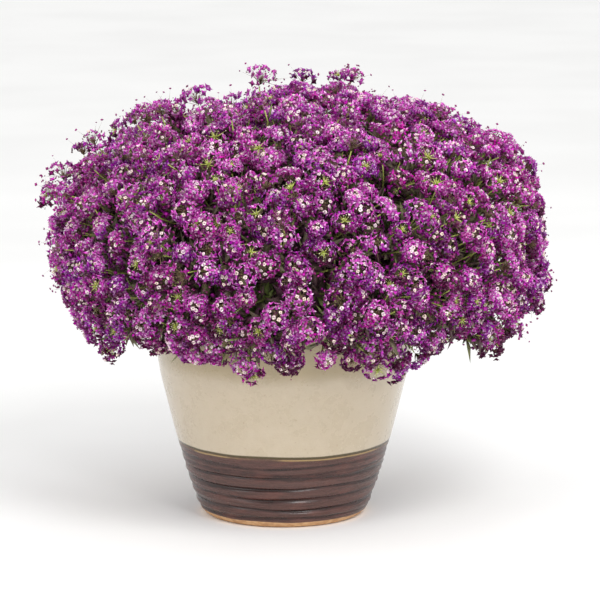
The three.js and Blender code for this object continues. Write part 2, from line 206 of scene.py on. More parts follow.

# Heights in the glaze: the painted shadow of the foliage, and over the band's top its edge, the dark line and
# the streaks under it
PAINTED_FOLIAGE_SHADOW = (134, 150)
GLAZE_EDGE = (-0.2, 0.3)
DARK_LINE = (-1.8, -0.8, 0.3, 1.3)
STREAKED_LINE = (-3.4, -2.6, -2.0, -1.4)

# Soil
SOIL_TOP = 164
SOIL_SWELL = 4
SOIL_GAP = 0.4
SOIL_SEGMENTS = 96
CRUMBS = 700
PERLITE = 90

# Camera, lights and floor, in metres, degrees and watts
CAMERA_DISTANCE = 3.5
CAMERA_ELEVATION = 10.2
CAMERA_AIM = (0.0146, 0.0, 0.1935)
CAMERA_LENS = 233.3
CAMERA_SENSOR = 36
FLOOR_REACH = 6.0
SKY_STRENGTH = 0.95
LIGHTS = (
    {"name": "key", "place": (0.7, -1.6, 1.9), "aim": (0, 0, 0.25), "size": 0.9, "power": 26},
    {"name": "fill", "place": (-1.6, -1.2, 0.9), "aim": (0, 0, 0.25), "size": 1.2, "power": 6},
    {"name": "low", "place": (0.8, -1.7, 0.75), "aim": (0, 0, 0.06), "size": 0.3, "power": 5},
)


def mix(a, b, t):
    return a + (b - a) * t


def smoothstep(x, low, high):
    t = np.clip((x - low) / (high - low), 0, 1)
    return t * t * (3 - 2 * t)


def plateau(x, start, full, fading, end):
    """1 from full to fading, and 0 before the start and past the end"""
    return smoothstep(x, start, full) * (1 - smoothstep(x, fading, end))


def unit(v):
    return v / np.maximum(np.linalg.norm(v, axis=-1, keepdims=True), 1e-9)


def across(along):
    """Two unit vectors square to each direction"""
    reference = np.where(np.abs(along[..., 2:]) > 0.9, np.array([1.0, 0, 0]), UP)
    side = unit(np.cross(reference, along))
    return side, np.cross(along, side)


def turned(first, second, angle):
    """The direction at an angle from the first of two square directions towards the second"""
    return np.cos(angle)[..., None] * first + np.sin(angle)[..., None] * second


def srgb(red, green, blue):
    """A colour from 0 to 255 a channel, as linear light"""
    c = np.array([red, green, blue]) / 255
    return np.where(c <= 0.04045, c / 12.92, ((c + 0.055) / 1.055) ** 2.4)


def draw(item, purpose):
    """A repeatable draw from 0 to 1 for each item and one purpose"""
    mask = np.uint64(0xFFFFFFFF)
    first = (np.atleast_1d(item).astype(np.uint64) + np.uint64(1)) * np.uint64(0x9E3779B1)
    second = np.uint64((purpose + 1) * 0x85EBCA6B & 0xFFFFFFFF)
    h = (first ^ second) & mask
    h = ((h ^ (h >> np.uint64(15))) * np.uint64(0x2C1B3C6D)) & mask
    h = ((h ^ (h >> np.uint64(12))) * np.uint64(0x297A2D39)) & mask
    return (h ^ (h >> np.uint64(15))).astype(float) / 2**32


def spread(item, purpose):
    return 2 * draw(item, purpose) - 1


def spread3(item, purposes):
    return np.stack([spread(item, purpose) for purpose in purposes], axis=-1)


# The mound and the places on it

def mound_profile():
    """Radius, height, arc length and area above, from the mound's top to the flowers under the rim"""
    angle = np.linspace(math.pi / 2, MOUND_END, PROFILE_STEPS + 1)
    power = np.where(angle > 0, UPPER_POWER, LOWER_POWER)
    rise = np.where(angle > 0, MOUND_RISE, MOUND_DROP)
    r = MOUND_RADIUS * np.maximum(np.cos(angle), 0) ** (2 / power)
    z = MOUND_WIDEST + np.sign(angle) * rise * np.abs(np.sin(angle)) ** (2 / power)
    step = np.hypot(np.diff(r), np.diff(z))
    arc = np.concatenate([[0], np.cumsum(step)])
    area = np.concatenate([[0], np.cumsum(step * (r[1:] + r[:-1]))])
    return r, z, arc, area


PROFILE_R, PROFILE_Z, PROFILE_ARC, PROFILE_AREA = mound_profile()


def seed_points(count, turn, scatter, push):
    """Places, normals and bearings of a count of points, laid out over the mound like seeds in a sunflower"""
    i = np.arange(count)
    share = PROFILE_AREA[-1] * (i + 0.5) / count
    even_arc = np.interp(share, PROFILE_AREA, PROFILE_ARC)
    even_r = np.interp(share, PROFILE_AREA, PROFILE_R)
    arc = np.maximum(0, even_arc + scatter * spread(i, DRAWN_ARC))
    row = np.clip(np.searchsorted(PROFILE_ARC, arc), 1, PROFILE_STEPS)
    r = np.interp(arc, PROFILE_ARC, PROFILE_R)
    z = np.interp(arc, PROFILE_ARC, PROFILE_Z)
    fall = PROFILE_Z[row - 1] - PROFILE_Z[row]
    out = PROFILE_R[row] - PROFILE_R[row - 1]
    steep = np.hypot(fall, out)
    normal_r, normal_z = fall / steep, out / steep
    shift = scatter * spread(i, DRAWN_BEARING) / np.maximum(even_r, max(3 * scatter, 1e-6))
    azimuth = i * GOLDEN_ANGLE + turn + shift
    lean = 1 + MOUND_LEAN * np.cos(azimuth) * smoothstep(z, LEAN_FROM, LEAN_FULL)
    cos, sin = np.cos(azimuth), np.sin(azimuth)
    far = r * lean + normal_r * push
    tilt = MOUND_TILT * far * cos * smoothstep(z, TILT_FROM, TILT_FULL)
    place = np.stack([far * cos, far * sin, z + tilt + normal_z * push], axis=-1)
    normal = np.stack([normal_r * cos, normal_r * sin, normal_z], axis=-1)
    return place, normal, azimuth


class Sprays:
    """The sprays' middles on the mound, the hubs where their branches begin and the feet of their stems"""

    def __init__(self):
        self.place, _, self.azimuth = seed_points(SPRAYS, SPRAY_TURN, 0, 0)
        self.push = SPRAY_PUSH * spread(np.arange(SPRAYS), DRAWN_SPRAY_PUSH)
        hang = 1 - smoothstep(self.place[:, 2], HANGING_FULL, HANGING_FROM)
        inner = mix(np.array([0, 0, MOUND_MIDDLE]), self.place, 0.5)
        reach = np.hypot(inner[:, 0], inner[:, 1])
        crossing = mix(reach, np.maximum(reach, RIM_CROSSING), hang)
        self.hub = self.at(crossing, mix(inner[:, 2], RIM_CROSSING_HEIGHT, hang))
        circle = STEM_CIRCLE * np.sqrt((np.arange(SPRAYS) + 0.5) / SPRAYS)
        self.foot = self.at(circle, np.full(SPRAYS, STEM_BOTTOM))
        self.collar = self.at(circle, np.full(SPRAYS, SOIL_TOP + SOIL_SWELL + 2.0))
        order = np.argsort(self.azimuth % TURN)
        self.group = np.empty(SPRAYS, int)
        self.group[order] = np.arange(SPRAYS) * GROUPS // SPRAYS

    def at(self, r, z):
        return np.stack([r * np.cos(self.azimuth), r * np.sin(self.azimuth), z], axis=-1)


class Heads:
    """Every flower head: its place, the way that it faces, its radius, its spray and its kind"""

    def __init__(self, sprays):
        main = self.laid_out(sprays, HEADS, 0, 0)
        item = np.arange(FILL_TRIES)
        depth = draw(item, DRAWN_FILL_SINK)
        _, _, azimuth = seed_points(FILL_TRIES, FILL_TURN, SCATTER, 0)
        leftward = 1 - OUTLIER_SIDE * np.cos(azimuth)
        out = draw(item, DRAWN_OUTLIER) < OUTLIERS * leftward
        lift = np.where(out, (0.5 + depth) * leftward**OUTLIER_SIDE_POWER, -FILL_SINK * depth)
        extra = self.laid_out(sprays, FILL_TRIES, FILL_TURN, lift)
        kept = between_others(main[0], extra[0])
        self.place, self.faces, self.spray = (np.concatenate([a, b[kept]]) for a, b in zip(main, extra))
        self.count = len(self.place)
        k = np.arange(self.count)
        self.place = self.place + DRIFT * spread3(k, DRAWN_DRIFT)
        low = 1 - smoothstep(self.place[:, 2], FRINGE_LOW, FRINGE_HIGH)
        aside = (sprays.place[self.spray] - self.place) * (1 - UP)
        sag = SPRAY_SAG * spread(self.spray, DRAWN_SAG) + HEAD_SAG * spread(k, DRAWN_SAG) - FRINGE_LIFT
        self.place = self.place + low[:, None] * (FRINGE_GATHER * aside + sag[:, None] * UP)
        self.loose = draw(k, DRAWN_LOOSE) < LOOSE_HEADS
        self.loose[HEADS:] |= out[kept]
        self.radius = HEAD_RADIUS * mix(SMALLEST_HEAD, LARGEST_HEAD, draw(k, DRAWN_HEAD_SIZE))
        self.radius = self.radius * np.where(self.loose, LOOSE_SIZE, 1.0)
        self.faces = unit(self.faces + FACE_TILT * spread3(k, DRAWN_FACE))
        kind = draw(k, DRAWN_HEAD_KIND)
        self.starry = kind < STARRY_HEADS
        self.budded = (kind >= STARRY_HEADS) & (kind < BUDDED_HEADS)
        self.hue = draw(k, DRAWN_HEAD_HUE)
        self.light = draw(k, DRAWN_HEAD_LIGHT)
        self.side, self.other = across(self.faces)

    @staticmethod
    def laid_out(sprays, count, turn, lift):
        """Places, directions and sprays of heads. A lift over 0 grows towards the top and fades below."""
        flat, level, _ = seed_points(count, turn, SCATTER, 0)
        rise = mix(OUTLIER_LIFT, TOP_OUTLIER_LIFT, smoothstep(level[:, 2], *TOP_SLOPES))
        lift = np.where(lift > 0, lift * rise * smoothstep(level[:, 2], *HANGING_SLOPES), lift)
        spray = np.linalg.norm(flat[:, None] - sprays.place[None], axis=2).argmin(axis=1)
        k = np.arange(count)
        push = sprays.push[spray] + HEAD_PUSH * spread(k, DRAWN_HEAD_PUSH) + lift
        place, normal, _ = seed_points(count, turn, SCATTER, push)
        up = np.where(normal[:, 2:] < 0, HANGING_HEAD_LIFT, HEAD_LIFT)
        faces = unit(normal + UP * up + HEAD_TILT * spread3(k, DRAWN_TILT))
        return place, faces, spray


def between_others(taken, offered):
    """Which of the offered places to take, so that no two places lie closer than the gap"""
    kept = []
    held = np.concatenate([taken, np.zeros_like(offered)])
    count = len(taken)
    items = np.arange(len(offered))
    gap = FILL_GAP * mix(SMALLEST_GAP, LARGEST_GAP, draw(items, DRAWN_FILL_GAP))
    gap = gap * mix(FRINGE_GAP, 1.0, smoothstep(offered[:, 2], FRINGE_LOW, FRINGE_HIGH))
    for item in np.argsort(draw(items, DRAWN_FILL_ORDER)):
        if np.linalg.norm(held[:count] - offered[item], axis=1).min() > gap[item]:
            held[count] = offered[item]
            count += 1
            kept.append(item)
    return kept


# Small closed forms

class Form:
    """Points, triangles, each point's shares of three colours and its place in the flat map"""

    def __init__(self, points, faces, weights, flat):
        self.points = np.array(points, float)
        self.faces = np.array(faces, int)
        self.weights = np.array(weights, float)
        self.flat = np.array(flat, float)


def from_above(points, reach):
    """The flat map of a form that faces +Z"""
    return [(0.5 + reach * x, 0.5 + reach * y) for x, y, _ in points]


# How pale each petal's edge is; the pale edge is partly the petal's own lighter rim and partly a painted
# highlight. A petal's points: bearing, reach, and weights where they aren't the edge's.
PALE_EDGES = (1.0, 0.12, 0.5, 0.0)
# The notches between petals take much of the eye colour: painted shade between the petals
BROAD_PETAL = ((-TURN / 8, 0.42, (0.3, 0.7, 0)), (-0.43, 1.0, None), (0.43, 1.0, None))
POINTED_PETAL = ((-TURN / 8, 0.52, (0.4, 0.6, 0)), (0, 1.05, None))


def open_form(outline, map_reach, cup):
    """Four petals of one outline round a small eye, radius 1, facing +Z, with a cone under them"""
    points = [(0, 0, -0.12), (0, 0, -0.5)]
    weights = [(0, 1, 0), (1, 0, 0)]
    faces = []
    count = len(outline)
    for petal, pale in enumerate(PALE_EDGES):
        for turn, reach, weight in outline:
            angle = petal * TURN / 4 + turn
            points.append((reach * math.cos(angle), reach * math.sin(angle), cup * reach**2 + 0.04))
            weights.append(weight or (1 - pale, 0, pale))
        first = 2 + petal * count
        rim = [*range(first, first + count), 2 + (petal + 1) % 4 * count]
        faces += [(0, a, b) for a, b in zip(rim, rim[1:])]
        faces += [(1, b, a) for a, b in zip(rim, rim[1:])]
    return Form(points, faces, weights, from_above(points, map_reach))


def young_form():
    """A half-open cup of four petals round a dark hole, radius 1, facing +Z"""
    points = [(0, 0, -0.3), (0, 0, -0.9)]
    weights = [(0, 1, 0), (1, 0, 0)]
    faces = []
    for petal in range(4):
        middle = petal * TURN / 4
        for turn, reach, rise in ((0, 0.38, 0.1), (0, 1.0, 0.2), (TURN / 8, 0.85, 0.12)):
            points.append((reach * math.cos(middle + turn), reach * math.sin(middle + turn), rise))
        weights += [(0.6, 0.4, 0), (0, 0, 1), (1, 0, 0)]
        inner, tip, notch = 2 + 3 * petal, 3 + 3 * petal, 4 + 3 * petal
        next_inner, next_tip = 2 + 3 * ((petal + 1) % 4), 3 + 3 * ((petal + 1) % 4)
        faces += [(0, inner, next_inner), (inner, tip, notch), (inner, notch, next_inner)]
        faces += [(next_inner, notch, next_tip), (tip, 1, notch), (notch, 1, next_tip)]
    return Form(points, faces, weights, from_above(points, 0.47))


def bud_form():
    """An egg with six points, radius 0.5 and height 1, standing on the origin"""
    ring = [(0.5 * math.cos(a), 0.5 * math.sin(a), 0.5) for a in (0, TURN / 4, TURN / 2, 3 * TURN / 4)]
    points = [(0, 0, 0), *ring, (0, 0, 1)]
    faces = []
    for i in range(4):
        a, b = 1 + i, 1 + (i + 1) % 4
        faces += [(b, a, 0), (a, b, 5)]
    weights = [(1, 0, 0)] + [(0.6, 0, 0.4)] * 4 + [(0, 0, 1)]
    flat = [(0.5, 0.05), *((0.2 * (i + 1), 0.5) for i in range(4)), (0.5, 0.95)]
    return Form(points, faces, weights, flat)


def twig_form():
    """A thin three-sided stalk along +Z, radius 1 at its root, height 1, that ends in a point"""
    points = [(math.cos(i * TURN / 3), math.sin(i * TURN / 3), 0) for i in range(3)] + [(0, 0, 1)]
    faces = [(0, 2, 1), (0, 1, 3), (1, 2, 3), (2, 0, 3)]
    weights = [(1, 0, 0)] * 3 + [(0, 0, 1)]
    flat = [(0.1, 0.05), (0.5, 0.05), (0.9, 0.05), (0.5, 0.95)]
    return Form(points, faces, weights, flat)


def inner_leaf_form():
    """A plain keeled leaf along +Z, length 1, half width 1"""
    points = [(0, 0, 0), (0.3, 1, 0.5), (0.3, -1, 0.5), (-0.3, 0, 0.5), (-0.4, 0, 1)]
    faces = [(0, 1, 2), (1, 4, 2), (0, 3, 1), (0, 2, 3), (1, 3, 4), (3, 2, 4)]
    weights = [(1, 0, 0), (0.7, 0, 0.3), (0.7, 0, 0.3), (0, 1, 0), (0, 0, 1)]
    flat = [(0.5, 0.03), (0.9, 0.5), (0.1, 0.5), (0.5, 0.45), (0.5, 0.97)]
    return Form(points, faces, weights, flat)


def leaf_form():
    """A narrow keeled leaf along +Z, length 1, half width 1, with a tip that curls back"""
    points = [(0, 0, 0)]
    weights = [(1, 0, 0)]
    for z, half, curl, weight in ((0.38, 0.85, 0.25, (0.7, 0.3, 0)), (0.72, 0.8, 0.1, (0.5, 0, 0.5))):
        points += [(curl + 0.35, half, z), (curl + 0.35, -half, z), (curl - 0.35, 0, z)]
        weights += [weight, weight, (1, 0, 0)]
    points.append((-0.5, 0, 1))
    weights.append((0.2, 0, 0.8))
    faces = []
    for i in range(3):
        a, b = 1 + i, 1 + (i + 1) % 3
        faces += [(0, b, a), (a, b, a + 3), (b, b + 3, a + 3), (a + 3, b + 3, 7)]
    flat = [(0.5, 0.03), (0.8, 0.38), (0.2, 0.38), (0.5, 0.36)]
    flat += [(0.75, 0.72), (0.25, 0.72), (0.5, 0.7), (0.5, 0.97)]
    return Form(points, faces, weights, flat)


CUPS = (0.02, 0.2, -0.14)
FLORET_FORMS = [open_form(BROAD_PETAL, 0.47, cup) for cup in CUPS]
FLORET_FORMS += [open_form(POINTED_PETAL, 0.45, cup) for cup in CUPS]
YOUNG_FORM = young_form()
BUD_FORM = bud_form()
TWIG_FORM = twig_form()
LEAF_FORM = leaf_form()
INNER_LEAF_FORM = inner_leaf_form()


# Meshes

class Batch:
    """Copies of small forms that become one mesh"""

    def __init__(self):
        self.points, self.faces, self.tints, self.flats = [], [], [], []
        self.size = 0

    def add(self, points, tints, faces, flat):
        """Copies of one set of triangles: points and tints (k, n, 3), faces (f, 3), flat map (f, 3, 2)"""
        count, corners = points.shape[:2]
        starts = self.size + corners * np.arange(count)
        self.points.append(points.reshape(-1, 3))
        self.tints.append(tints.reshape(-1, 3))
        self.faces.append((starts[:, None, None] + faces).reshape(-1, 3))
        self.flats.append(np.broadcast_to(flat, (count, len(faces), 3, 2)))
        self.size += count * corners

    def put(self, form, places, axes, colours):
        """Copies of a form: places (k, 3), and each copy's axes and colours (k, 3, 3)"""
        points = places[:, None] + np.einsum("nj,kjr->knr", form.points, axes)
        tints = np.einsum("nc,kcr->knr", form.weights, colours)
        self.add(points, tints, form.faces, form.flat[form.faces])

    def put_tubes(self, paths, radii, sides, colours):
        """Tubes along curves (k, s, 3) that each lie in a plane, all with the radii (s) and colours (s, 3)"""
        count, steps = paths.shape[:2]
        tangent = unit(np.gradient(paths, axis=1))
        bend = np.cross(tangent[:, 0], tangent[:, -1])
        spare, _ = across(tangent[:, 0])
        plane = np.where(np.linalg.norm(bend, axis=1, keepdims=True) > 0.02, bend, spare)
        plane = unit(plane)[:, None]
        u = unit(plane - tangent * np.sum(plane * tangent, axis=2, keepdims=True))
        v = np.cross(tangent, u)
        spokes = turned(u[:, :, None], v[:, :, None], np.arange(sides) * TURN / sides)
        rings = paths[:, :, None] + radii[:, None, None] * spokes
        points = np.concatenate([rings.reshape(count, -1, 3), paths[:, :1], paths[:, -1:]], axis=1)
        tints = np.concatenate([np.repeat(colours, sides, axis=0), colours[:1], colours[-1:]])
        faces, flat = [], []
        for s in range(steps - 1):
            low, high = s * sides, (s + 1) * sides
            bottom, top = (s + 0.05) / steps, (s + 0.95) / steps
            for i in range(sides):
                j = (i + 1) % sides
                faces += [(low + i, low + j, high + i), (low + j, high + j, high + i)]
                left, right = (i + 0.05) / sides, (i + 0.95) / sides
                flat.append([(left, bottom), (right, bottom), (left, top)])
                flat.append([(right, bottom), (right, top), (left, top)])
        last = (steps - 1) * sides
        root, end = steps * sides, steps * sides + 1
        for i in range(sides):
            j = (i + 1) % sides
            faces += [(j, i, root), (last + i, last + j, end)]
            flat += [[(0.02, 0.98), (0.04, 0.98), (0.03, 0.99)]] * 2
        self.add(points, np.broadcast_to(tints, points.shape), np.array(faces), np.array(flat))

    def piece(self, name, material, slot, nodes=()):
        """One mesh of all the copies. Each copy has a square of its own in the flat map."""
        row = math.ceil(math.sqrt(sum(len(flat) for flat in self.flats)))
        flats, first = [], 0
        for flat in self.flats:
            cell = first + np.arange(len(flat))
            corner = np.stack([cell % row, cell // row], axis=-1)
            flats.append(((flat + corner[:, None, None]) / row).reshape(-1, 2))
            first += len(flat)
        points, faces, tints = (np.concatenate(rows) for rows in (self.points, self.faces, self.tints))
        placed(mesh_object(name, points, faces, material, np.concatenate(flats), tints), nodes)


def linked(name, data):
    made = bpy.data.objects.new(name, data)
    bpy.context.scene.collection.objects.link(made)
    return made


def mesh_object(name, points, faces, material, flats, tints=None):
    """A smooth mesh of triangles from millimetres, with a flat map and perhaps a colour at each point"""
    mesh = bpy.data.meshes.new(name)
    mesh.vertices.add(len(points))
    mesh.vertices.foreach_set("co", (points * MM).astype(np.float32).ravel())
    mesh.loops.add(3 * len(faces))
    mesh.loops.foreach_set("vertex_index", faces.astype(np.int32).ravel())
    mesh.polygons.add(len(faces))
    mesh.polygons.foreach_set("loop_start", np.arange(0, 3 * len(faces), 3, dtype=np.int32))
    mesh.update(calc_edges=True)
    mesh.shade_smooth()
    if tints is not None:
        rgba = np.concatenate([tints, np.ones((len(tints), 1))], axis=1)
        attribute = mesh.color_attributes.new("tint", "FLOAT_COLOR", "POINT")
        attribute.data.foreach_set("color", rgba.astype(np.float32).ravel())
    mesh.uv_layers.new(name="OFBake").data.foreach_set("uv", flats.astype(np.float32).ravel())
    mesh.materials.append(material)
    return linked(name, mesh)


def placed(made, nodes=()):
    """The piece rides on the one body and stands for the nodes"""
    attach(made, "root")
    if nodes:
        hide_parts(*nodes)


# Materials

class Shader:
    """A material's node tree, with short calls for its usual nodes"""

    def __init__(self, name):
        self.material = bpy.data.materials.new(name)
        self.material.use_nodes = True
        self.tree = self.material.node_tree
        self.surface = self.tree.nodes["Principled BSDF"]

    def put(self, value, socket):
        """Joins a node's output to the socket, or gives the socket a number, a vector or a colour"""
        if isinstance(value, bpy.types.NodeSocket):
            self.tree.links.new(value, socket)
        elif socket.type == "RGBA":
            socket.default_value = (*value, 1)
        else:
            socket.default_value = value

    def node(self, kind, sockets=None, **settings):
        made = self.tree.nodes.new(kind)
        for name, value in settings.items():
            setattr(made, name, value)
        for name, value in (sockets or {}).items():
            self.put(value, made.inputs[name])
        return made

    def set(self, **sockets):
        for name, value in sockets.items():
            self.put(value, self.surface.inputs[name.replace("_", " ")])

    def place(self):
        return self.node("ShaderNodeTexCoord").outputs["Object"]

    def attribute(self, name, output="Color"):
        return self.node("ShaderNodeAttribute", attribute_name=name).outputs[output]

    def math(self, operation, *values):
        made = self.node("ShaderNodeMath", operation=operation)
        for value, socket in zip(values, made.inputs):
            self.put(value, socket)
        return made.outputs[0]

    def times(self, first, second):
        return self.math("MULTIPLY", first, second)

    def between(self, value, low, high, to_low=0.0, to_high=1.0):
        """An eased ramp over the value, from to_low at low to to_high at high"""
        sockets = {"Value": value, "From Min": low, "From Max": high, "To Min": to_low, "To Max": to_high}
        return self.node("ShaderNodeMapRange", sockets, interpolation_type="SMOOTHSTEP").outputs["Result"]

    def stripe(self, value, start, full, fading, end):
        """1 from full to fading, and 0 before the start and past the end"""
        return self.times(self.between(value, start, full), self.between(value, end, fading))

    def noise(self, scale, detail, roughness=0.5, place=None):
        vector = self.place() if place is None else place
        sockets = {"Vector": vector, "Scale": scale, "Detail": detail, "Roughness": roughness}
        return self.node("ShaderNodeTexNoise", sockets).outputs["Fac"]

    def stretched(self, scale):
        sockets = {"Vector": self.place(), "Scale": scale}
        return self.node("ShaderNodeMapping", sockets).outputs["Vector"]

    def blend(self, share, first, second, kind="MIX"):
        made = self.node("ShaderNodeMix", data_type="RGBA", blend_type=kind)
        for value, socket in zip((share, first, second), [s for s in made.inputs if s.enabled]):
            self.put(value, socket)
        return next(s for s in made.outputs if s.enabled)

    def bump(self, height, distance, strength):
        sockets = {"Height": height, "Distance": distance, "Strength": strength}
        self.set(Normal=self.node("ShaderNodeBump", sockets).outputs["Normal"])

    def mottle(self, scale, detail, limits, tones):
        """The tint of each point, made darker and lighter by a fine noise"""
        tone = self.between(self.noise(scale, detail), *limits, *tones)
        self.set(Base_Color=self.blend(1.0, self.attribute("tint"), tone, "MULTIPLY"))


def petal_material():
    """Velvety petals, mottled within a floret"""
    shader = Shader("petal")
    shader.mottle(700, 2, (0.35, 0.65), (0.6, 1.36))
    shader.set(Roughness=0.55, Specular_IOR_Level=0.08)
    return shader.material


def leaf_material():
    """Narrow leaves, mottled, with an uneven sheen"""
    shader = Shader("leaf")
    shader.mottle(500, 3, (0.3, 0.7), (0.8, 1.15))
    shader.set(Roughness=shader.between(shader.noise(260, 1), 0.3, 0.7, 0.45, 0.62), Specular_IOR_Level=0.4)
    return shader.material


def stem_material():
    """Thin stems, pedicels and buds, and the soil's dark crumbs"""
    shader = Shader("stem")
    shader.mottle(320, 2, (0.3, 0.7), (0.82, 1.14))
    shader.set(Roughness=0.5)
    return shader.material


def grained(name, noise, limits, dark, light, roughness, bump):
    """A rough material of two tones, with the grain of one noise"""
    shader = Shader(name)
    grain = shader.noise(*noise)
    shader.set(Base_Color=shader.blend(shader.between(grain, *limits), dark, light), Roughness=roughness)
    shader.bump(grain, *bump)
    return shader


def soil_material():
    """Moist potting mix"""
    dark, light = srgb(30, 21, 15), srgb(74, 54, 38)
    shader = grained("soil", (420, 5, 0.7), (0.35, 0.65), dark, light, 0.95, (0.0015, 0.8))
    shader.set(Specular_IOR_Level=0.2)
    return shader.material


def perlite_material():
    """White crumbs of perlite"""
    dark, light = srgb(170, 164, 150), srgb(222, 218, 206)
    return grained("perlite", (900, 3), (0.3, 0.7), dark, light, 0.9, (0.0004, 0.6)).material


def pot_material():
    """Cream glaze over a brown ridged band and a bare clay foot"""
    shader = Shader("pot")
    between, blend, noise, times = shader.between, shader.blend, shader.noise, shader.times
    height = shader.node("ShaderNodeSeparateXYZ", {"Vector": shader.place()}).outputs["Z"]
    wander = times(shader.math("SUBTRACT", noise(14, 2), 0.5), 3.5)
    z = shader.math("ADD", times(height, 1 / MM), wander)
    over_band = shader.math("SUBTRACT", z, BAND_TOP)
    ridge = shader.attribute("ridge", "Fac")

    cloud = noise(40, 5, 0.75)
    cream = blend(between(cloud, 0.25, 0.75), srgb(184, 169, 144), srgb(191, 177, 154))
    fleck = between(noise(1150, 2, 0.7), 0.62, 0.7)
    cream = blend(times(fleck, 0.22), cream, srgb(150, 128, 104))
    spot = between(noise(330, 1), 0.74, 0.78)
    cream = blend(times(spot, 0.35), cream, srgb(146, 112, 84))
    # Painted shadow of the foliage over the upper glaze, a darker tan band
    cream = blend(times(between(z, *PAINTED_FOLIAGE_SHADOW), 0.7), cream, srgb(158, 139, 98))

    streak = noise(60, 4, 0.65, shader.stretched((1, 1, 9)))
    brown = blend(between(streak, 0.3, 0.7), srgb(34, 16, 14), srgb(72, 41, 36))
    red = between(noise(34, 2, place=shader.stretched((1, 1, 4))), 0.5, 0.72)
    brown = blend(times(red, 0.5), brown, srgb(102, 56, 46))
    # Painted shade in the grooves of the band and painted highlights on its crests, from the ridge height
    brown = blend(between(ridge, 0.0, 0.8, 0.75, 0.0), brown, srgb(36, 24, 22))
    brown = blend(between(ridge, 0.75, 1.0, 0.0, 0.3), brown, srgb(116, 84, 76))

    clay = blend(between(noise(180, 3), 0.3, 0.7), srgb(184, 138, 96), srgb(212, 172, 128))

    over = between(over_band, *GLAZE_EDGE)
    patchy = between(noise(26, 2), 0.42, 0.6, 0.1, 0.8)
    streaked = times(shader.stripe(over_band, *STREAKED_LINE), patchy)
    bare = between(z, FOOT_TOP + 0.4, FOOT_TOP - 0.4)
    colour = blend(over, brown, cream)
    colour = blend(streaked, colour, srgb(168, 142, 94))
    colour = blend(shader.stripe(over_band, *DARK_LINE), colour, srgb(74, 62, 32))
    shader.set(Base_Color=blend(bare, colour, clay))

    satin = between(streak, 0.3, 0.7, 0.2, 0.36)
    gloss = between(cloud, 0.3, 0.7, 0.24, 0.34)
    rough = shader.math("ADD", times(over, gloss), times(shader.math("SUBTRACT", 1.0, over), satin))
    shader.set(Roughness=shader.math("MAXIMUM", rough, times(bare, 0.85)))
    shader.set(Coat_Weight=times(over, 0.6), Coat_Roughness=0.2)
    shader.bump(shader.math("ADD", times(noise(420, 2), 0.35), streak), 0.0004, 0.35)
    return shader.material


# Pot and soil

def revolved(radii, heights, bearings):
    """Points, triangles and flat map of rows turned round +Z, closed on the axis at both ends"""
    rows, segments = len(heights), len(bearings)
    x, y = radii * np.cos(bearings), radii * np.sin(bearings)
    ring = np.stack([x, y, np.broadcast_to(heights[:, None], x.shape)], axis=-1).reshape(-1, 3)
    points = np.concatenate([ring, [[0, 0, heights[0]], [0, 0, heights[-1]]]])
    row, seg = np.meshgrid(np.arange(rows - 1), np.arange(segments), indexing="ij")
    after = (seg + 1) % segments
    a, b = row * segments + seg, row * segments + after
    c, d = a + segments, b + segments
    walls = np.stack([np.stack([a, b, d], -1), np.stack([a, d, c], -1)], axis=2).reshape(-1, 3)
    u = np.stack([seg, seg + 1, seg + 1, seg, seg + 1, seg], -1) / segments
    v = np.stack([row, row, row + 1, row, row + 1, row + 1], -1) / (rows + 1)
    flat = np.stack([u, v], axis=-1).reshape(-1, 2)
    one = np.arange(segments)
    two = (one + 1) % segments
    first = np.stack([two, one, np.full(segments, rows * segments)], -1)
    last = np.stack([one, two, np.full(segments, rows * segments + 1)], -1)
    last[:, :2] += (rows - 1) * segments
    disc = 0.5 + 0.5 * np.stack([np.cos(bearings), np.sin(bearings)], -1)
    middle = np.full((segments, 2), 0.5)
    scale = 1 / (rows + 1)
    ends = []
    for shift, (p, q) in ((0, (two, one)), (1.2 * scale, (one, two))):
        corners = np.stack([disc[p], disc[q], middle], axis=1) * scale * 0.95
        corners += (shift, 1 - scale)
        ends.append(corners.reshape(-1, 2))
    return points, np.concatenate([walls, first, last]), np.concatenate([flat, *ends])


def smooth_wall(z):
    """The plain outer wall's radius, with the corners of its outline rounded off"""
    radii, heights = np.array(OUTER_WALL, float).T
    soft = sum(np.interp(z + shift, heights, radii) for shift in (-9, -4.5, 0, 4.5, 9)) / 5
    return mix(np.interp(z, heights, radii), soft, plateau(z, 16, 30, 160, 172))


def ridge_height(z, bearing):
    """How far the thrown ridges lie under the plain wall, from 0 on a crest to -1 in the deepest groove"""
    wave = 0.55 * np.sin(bearing + 0.6) + 0.4 * np.sin(2 * bearing + 2.1) + 0.25 * np.sin(5 * bearing)
    depth = np.zeros(np.broadcast(z, bearing).shape)
    for number, (groove, deep) in enumerate(zip(GROOVES, GROOVE_DEPTHS)):
        middle = groove + wave + 0.7 * np.sin(3 * bearing + 1.7 * number)
        middle = middle + 0.25 * np.sin(7 * bearing + 2.9 * number)
        width = GROOVE_WIDTH * (1 + 0.3 * np.sin(2 * bearing + 2.3 * number))
        near = np.exp(-(((z - middle) / width) ** 2))
        depth = np.maximum(depth, deep / max(GROOVE_DEPTHS) * near * (1 + 0.2 * np.sin(4 * bearing + number)))
    return -depth


def throwing_lines(z, bearing):
    """Low uneven waves that the fingers leave in the clay"""
    lines = 0.32 * np.sin(0.66 * z + 1.2 * np.sin(bearing + 1))
    lines = lines + 0.22 * np.sin(1.1 * z + 1.6 * np.sin(2 * bearing))
    lines = lines + 0.08 * np.sin(2.3 * z + np.sin(3 * bearing))
    return lines * plateau(z, 6, 10, 60, 66)


